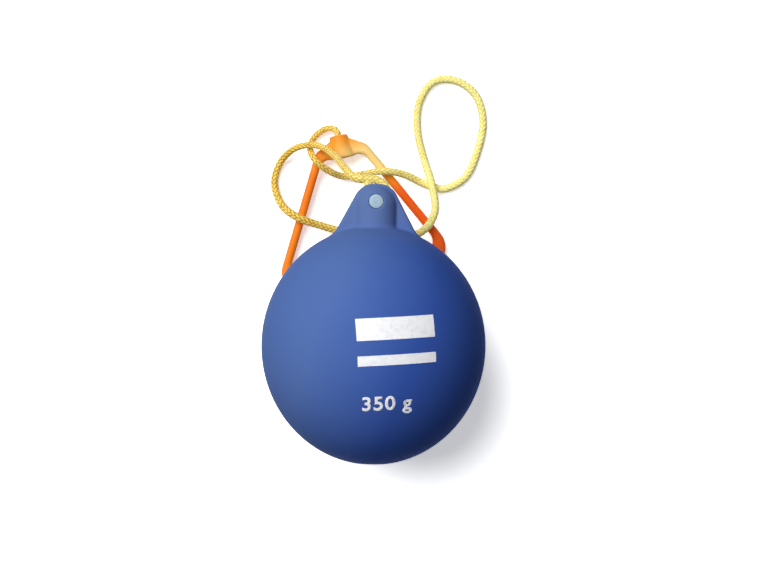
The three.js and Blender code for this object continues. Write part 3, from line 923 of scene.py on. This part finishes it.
def rounded_outline(points, corners, radii):
    """Signed distance to a convex outline, listed anticlockwise, with rounded corners."""
    corners = [np.array(c, float) for c in corners]
    normals = []
    distance = np.full(len(points), -1e9)
    for index, corner in enumerate(corners):
        along = corners[(index + 1) % len(corners)] - corner
        normal = np.array([along[1], -along[0]]) / np.linalg.norm(along)
        normals.append(normal)
        distance = np.maximum(distance, (points - corner) @ normal)
    for index, corner in enumerate(corners):
        before, after = normals[index - 1], normals[index]
        middle = before + after
        centre = corner - radii[index] * middle / (1 + before @ after)
        offset = points - centre
        past = before[0] * offset[:, 1] - before[1] * offset[:, 0] > 0
        short = offset[:, 0] * after[1] - offset[:, 1] * after[0] > 0
        wedge = past & short & (offset @ middle > 0)
        distance = np.where(wedge, np.linalg.norm(offset, axis=1) - radii[index], distance)
    return distance


shoulder_at = (CROWN_PEAK_AT / math.tan(CROWN_SLOPE) + edge_x(0, LEG_WIDTH / 2)) / (
    1 / math.tan(CROWN_SLOPE) - math.tan(LEG_ANGLE)
)
base_at = GRIP_AT + GRIP_RADIUS
inner_base_at = GRIP_AT - GRIP_RADIUS
outer_corners = [
    (-edge_x(shoulder_at, LEG_WIDTH / 2), -shoulder_at),
    (-edge_x(base_at, LEG_WIDTH / 2), -base_at),
    (edge_x(base_at, LEG_WIDTH / 2), -base_at),
    (edge_x(shoulder_at, LEG_WIDTH / 2), -shoulder_at),
    (0, -CROWN_PEAK_AT),
]
inner_corners = [
    (-edge_x(CROWN_INNER_AT, -LEG_WIDTH / 2), -CROWN_INNER_AT),
    (-edge_x(inner_base_at, -LEG_WIDTH / 2), -inner_base_at),
    (edge_x(inner_base_at, -LEG_WIDTH / 2), -inner_base_at),
    (edge_x(CROWN_INNER_AT, -LEG_WIDTH / 2), -CROWN_INNER_AT),
]
outer_radii = [
    SHOULDER_RADIUS,
    OUTER_CORNER_RADIUS,
    OUTER_CORNER_RADIUS,
    SHOULDER_RADIUS,
    BOSS_TOP_RADIUS,
]
inner_radii = [CROWN_INNER_RADIUS, INNER_CORNER_RADIUS, INNER_CORNER_RADIUS, CROWN_INNER_RADIUS]
grip_half = edge_x(base_at, LEG_WIDTH / 2) - OUTER_CORNER_RADIUS / math.tan(
    (math.pi / 2 - LEG_ANGLE) / 2
)


def handle_field(p):
    x, y, z = p.T
    flat = p[:, :2]
    outer = rounded_outline(flat, outer_corners, outer_radii)
    inner = rounded_outline(flat, inner_corners, inner_radii)
    plan = np.maximum(outer, -inner) + FRAME_EDGE
    height = np.abs(z) - FRAME_THICKNESS / 2 + FRAME_EDGE
    body = (
        np.minimum(np.maximum(plan, height), 0)
        + np.hypot(np.maximum(plan, 0), np.maximum(height, 0))
        - FRAME_EDGE
    )
    past_end = np.maximum(np.abs(x) - grip_half, 0)
    grip = np.sqrt(past_end**2 * GRIP_END_ROUNDING + (y + GRIP_AT) ** 2 + z**2) - GRIP_RADIUS
    body = np.maximum(join(body, grip, GRIP_BLEND), -GRIP_RADIUS - z)
    axis = np.hypot(x, z)
    share = (-y - BOSS_TOP_AT) / (BOSS_END_AT - BOSS_TOP_AT)
    cone = axis - BOSS_TOP_RADIUS - (BOSS_END_RADIUS - BOSS_TOP_RADIUS) * np.minimum(share, 1)
    boss = cut(cone, y + BOSS_FACE_AT, BOSS_EDGE)
    boss = cut(boss, -BOSS_TOP_AT - y, BOSS_EDGE)
    body = join(body, boss, BOSS_BLEND)
    seat_y = -BOSS_END_AT + KNOT_SEAT_DEPTH
    bore = np.maximum(axis - BOSS_BORE_RADIUS, seat_y - BORE_OVERRUN - y)
    body = cut(body, bore, BORE_EDGE)
    seat = np.maximum(axis - KNOT_SEAT_RADIUS, y - seat_y)
    seat = np.maximum(seat, -BOSS_FACE_AT - SEAT_OVERRUN - y)
    return cut(body, seat, BORE_EDGE)


handle_reach = ((-68, 68), (-118, -15), (-10, 10))
handle_lines = [spaced((low, high, HANDLE_LINES_APART)) for low, high in handle_reach]
handle = moulded("moulded_handle", handle_field, handle_lines)
handle.data.transform(to_handle @ Matrix.Scale(MM, 4))

# Polypropylene, injection moulded: smooth semi-gloss orange that light sinks into a little.
# Its colour is painted pale yellow about the boss and the crown (a painted highlight),
# painted yellower towards the lamp's side on the left and redder away from it (painted light
# and shade), and it glows faintly (painted light).
HANDLE_ORANGE_TO_GLARE = ("#fc620e", "#fb7410", "#fc8c14", "#ffab3a", "#ffd986")
# Painted light and shade: the handle is coloured yellower towards the left, where the lamp is, and
# redder towards the right
HANDLE_LIT_FROM_X = 30 * MM
HANDLE_LIT_TO_X = -60 * MM
HANDLE_LIT_BY = (-0.14, 0.44)
GLARE_CENTRE = Vector((-4, 121, 12)) * MM
GLARE_NARROWED = (1, 1.6, 1)
GLARE_WITHIN = 8 * MM
GLARE_REACH = 44 * MM
STREAK_SIZE = 16.7 * MM
STREAK_SWING = 0.12
SURFACE_RIPPLE = 1.43 * MM
polypropylene, tree, shader, place = material("moulded_polypropylene_orange")
# Painted highlight: the tone is mixed towards pale yellow near the boss and the crown
inputs = {0: place, 1: GLARE_CENTRE}
from_centre = add(tree, "ShaderNodeVectorMath", inputs, operation="SUBTRACT")
inputs = {0: from_centre, 1: GLARE_NARROWED}
narrowed = add(tree, "ShaderNodeVectorMath", inputs, operation="MULTIPLY")
from_glare_centre = add(tree, "ShaderNodeVectorMath", {0: narrowed}, operation="LENGTH")
inputs = {"Value": from_glare_centre, "From Min": GLARE_WITHIN, "From Max": GLARE_REACH}
painted_glare = add(tree, "ShaderNodeMapRange", {**inputs, "To Min": 1.0, "To Max": 0.0})
inputs = {"Vector": place, "Scale": 1 / STREAK_SIZE, "Detail": 3.0}
streaks = add(tree, "ShaderNodeTexNoise", inputs)
inputs = {0: streaks, 1: STREAK_SWING, 2: -STREAK_SWING / 2}
uneven = add(tree, "ShaderNodeMath", inputs, operation="MULTIPLY_ADD")
# Painted light and shade: yellower towards the lamp's side on the left, redder away from it
along_x = add(tree, "ShaderNodeSeparateXYZ", {0: place}).outputs["X"]
inputs = {"Value": along_x, "From Min": HANDLE_LIT_FROM_X, "From Max": HANDLE_LIT_TO_X}
inputs.update(zip(("To Min", "To Max"), HANDLE_LIT_BY))
painted_lit_side = add(tree, "ShaderNodeMapRange", inputs)
lit_side_and_streaks = add(tree, "ShaderNodeMath", {0: painted_lit_side, 1: uneven}, operation="ADD")
glare_lit_side_and_streaks = add(tree, "ShaderNodeMath", {0: painted_glare, 1: lit_side_and_streaks}, operation="ADD")
ramp = add(tree, "ShaderNodeValToRGB", {0: glare_lit_side_and_streaks})
tone = shades(ramp, *zip(np.linspace(0, 1, len(HANDLE_ORANGE_TO_GLARE)).tolist(), HANDLE_ORANGE_TO_GLARE))
inputs = {"Vector": place, "Scale": 1 / SURFACE_RIPPLE, "Detail": 2.0}
ripple = add(tree, "ShaderNodeTexNoise", inputs)
inputs = {"Height": ripple, "Strength": 0.06, "Distance": BUMP_HEIGHT}
finish = {
    "Base Color": tone,
    # Painted light: the handle glows faintly in its own colour, which lightens its shade
    "Emission Color": tone,
    "Emission Strength": 0.14,
    "Normal": add(tree, "ShaderNodeBump", inputs),
    "Roughness": 0.5,
    "IOR": 1.49,
    "Specular IOR Level": 0.25,
    "Subsurface Weight": 0.12,
    "Subsurface Radius": (4 * MM, 2 * MM, 1 * MM),
}
wire(tree, shader, finish)
handle.data.materials.append(polypropylene)
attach(handle, "handle")
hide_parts("handle_frame")

# Printed marks: white ink, screen-printed on the ball in plain generic forms, which are the
# weight in grams and a double stripe. Each is cut from a flat outline, laid on the ball and
# stands a hair proud of it.
INK_PROUD = 0.12
INK_THICKNESS = 0.1
INK_FINE = 1.5
NUMBER_TEXT = "350 g"
NUMBER_HEIGHT = 12.8
NUMBER_WEIGHT = 0.28
NUMBER_SPACING = 1.08
MARK_LEAN = math.radians(4)
NUMBER_LONGITUDE = math.radians(8)
NUMBER_LATITUDE = math.radians(-25.5)


def on_ball(across, along, longitude, latitude):
    """The point of the ball's skin at flat distances, in mm, from a centre on it."""
    y = BALL_HALF_LENGTH / MM * math.sin(latitude) + along * math.cos(latitude)
    reach = math.sqrt(max(0, 1 - (y * MM / BALL_HALF_LENGTH) ** 2)) * BALL_RADIUS / MM
    turn = longitude + across / max(reach, 1)
    out = reach + INK_PROUD
    return Vector((out * math.sin(turn), y, out * math.cos(turn))) * MM + BALL_CENTRE


def printed(name, mesh, longitude, latitude):
    """A flat mesh in mm, cut fine and laid on the ball, with its faces in a fixed order."""
    work = bmesh.new()
    work.from_mesh(mesh)
    for axis in range(2):
        low = min(v.co[axis] for v in work.verts)
        high = max(v.co[axis] for v in work.verts)
        for step in range(1, int((high - low) / INK_FINE) + 1):
            normal = [0, 0, 0]
            normal[axis] = 1
            place = [0, 0, 0]
            place[axis] = low + step * INK_FINE
            parts = work.verts[:] + work.edges[:] + work.faces[:]
            bmesh.ops.bisect_plane(work, geom=parts, plane_co=place, plane_no=normal)
    for vert in work.verts:
        vert.co = on_ball(vert.co.x, vert.co.y, longitude, latitude)
    bmesh.ops.solidify(work, geom=work.faces[:], thickness=INK_THICKNESS * MM)
    bmesh.ops.recalc_face_normals(work, faces=work.faces)
    work.verts.index_update()
    faces = []
    for face in work.faces:
        ring = [vert.index for vert in face.verts]
        first = ring.index(min(ring))
        faces.append(ring[first:] + ring[:first])
    points = [vert.co for vert in work.verts]
    data = bpy.data.meshes.new(name)
    data.from_pydata(points, [], sorted(faces), shade_flat=not mesh.polygons[0].use_smooth)
    work.free()
    data.materials.append(ink)
    piece = placed(name, data)
    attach(piece, "head")


# Screen-printing ink, white: flat and slightly see-through at its thinnest, and it glows faintly
# (painted light)
INK_PATCH = 2.38 * MM
ink, tree, shader, place = material("screen_printed_ink_white")
inputs = {"Vector": place, "Scale": 1 / INK_PATCH, "Detail": 4.0}
wear = add(tree, "ShaderNodeTexNoise", inputs)
tone = shades(add(tree, "ShaderNodeValToRGB", {0: wear}), (0.3, "#eceef5"), (0.55, "#ffffff"))
# Painted light: the ink glows faintly in its own colour
finish = {"Base Color": tone, "Emission Color": tone, "Emission Strength": 0.12}
wire(tree, shader, {**finish, "Roughness": 0.55})

lettering = bpy.data.curves.new("number", "FONT")
lettering.body = NUMBER_TEXT
lettering.size = NUMBER_HEIGHT
lettering.offset = NUMBER_WEIGHT
lettering.space_character = NUMBER_SPACING
lettering.align_x = "CENTER"
lettering.align_y = "CENTER"
lettering.fill_mode = "FRONT"
number = placed("number", lettering)
graph = bpy.context.evaluated_depsgraph_get()
flat = bpy.data.meshes.new_from_object(number.evaluated_get(graph), depsgraph=graph)
bpy.data.objects.remove(number)
flat.transform(Matrix.Rotation(MARK_LEAN, 4, "Z"))
printed("weight_number", flat, NUMBER_LONGITUDE, NUMBER_LATITUDE)

# A double stripe in the same ink, above the number
STRIPE_LENGTH = 48
STRIPE_LONGITUDE = math.radians(11.8)
STRIPES = ((1, 14), (-14, -8))
STRIPE_LATITUDE = math.radians(4.2)
corners = []
for low, high in STRIPES:
    for across, along in ((-1, low), (1, low), (1, high), (-1, high)):
        corners.append((across * STRIPE_LENGTH / 2, along, 0))
flat = bpy.data.meshes.new("stripes")
flat.from_pydata(corners, [], [(0, 1, 2, 3), (4, 5, 6, 7)])
flat.transform(Matrix.Rotation(MARK_LEAN, 4, "Z"))
printed("double_stripe", flat, STRIPE_LONGITUDE, STRIPE_LATITUDE)

# Floor and light: a plain pale floor that shows as white, a broad soft lamp at the upper
# left, and a dim surround, white to the camera, whose slightly blue light fills the shade
FLOOR_SIZE = 8
FLOOR_SEEN = 1.7
FLOOR_BOUNCE = 0.09
FLOOR_GLOW = 0.5
FILL_TINT = "#c3ceff"
SURROUND_LEVEL = 0.045
LAMP_DIRECTION = Vector((-0.39, 0.374, 0.842))
LAMP_SPREAD = math.radians(42)
LAMP_STRENGTH = 2.95


def seen_directly(tree):
    """1 for the rays that show the floor and the surround, straight or in a reflection."""
    path = add(tree, "ShaderNodeLightPath", {}).outputs
    inputs = {0: path["Is Glossy Ray"], 1: path["Is Transmission Ray"]}
    mirrored = add(tree, "ShaderNodeMath", inputs, operation="MAXIMUM")
    inputs = {0: path["Is Camera Ray"], 1: mirrored}
    return add(tree, "ShaderNodeMath", inputs, operation="MAXIMUM")


floor_mesh = bpy.data.meshes.new("floor")
half = FLOOR_SIZE / 2
floor_mesh.from_pydata(
    [(-half, -half, 0), (half, -half, 0), (half, half, 0), (-half, half, 0)], [], [(0, 1, 2, 3)]
)
floor = placed("floor", floor_mesh)
paper = bpy.data.materials.new("seamless_white_paper")
paper.use_nodes = True
tree = paper.node_tree
tree.nodes.remove(tree.nodes["Principled BSDF"])
seen = seen_directly(tree)
inputs = {"Value": seen, "To Min": FLOOR_BOUNCE, "To Max": FLOOR_SEEN}
shade = add(tree, "ShaderNodeMapRange", inputs)
diffuse = add(tree, "ShaderNodeBsdfDiffuse", {"Color": shade})
lift = add(tree, "ShaderNodeMath", {0: seen, 1: FLOOR_GLOW}, operation="MULTIPLY")
glow = add(tree, "ShaderNodeEmission", {"Strength": lift})
both = add(tree, "ShaderNodeAddShader", {0: diffuse, 1: glow})
wire(tree, tree.nodes["Material Output"], {"Surface": both})
floor.data.materials.append(paper)

lamp_data = bpy.data.lights.new("lamp", "SUN")
lamp_data.angle = LAMP_SPREAD
lamp_data.energy = LAMP_STRENGTH
lamp = placed("lamp", lamp_data)
lamp.location = LAMP_DIRECTION
lamp.rotation_euler = LAMP_DIRECTION.to_track_quat("Z", "Y").to_euler()

world = bpy.data.worlds.new("pale_surround")
world.use_nodes = True
tree = world.node_tree
seen = seen_directly(tree)
strength = add(tree, "ShaderNodeMapRange", {"Value": seen, "To Min": SURROUND_LEVEL})
inputs = {"Factor": seen, "A": colour(FILL_TINT), "B": colour("#ffffff")}
tint = add(tree, "ShaderNodeMix", inputs, data_type="RGBA")
wire(tree, tree.nodes["Background"], {"Color": tint, "Strength": strength})
bpy.context.scene.world = world
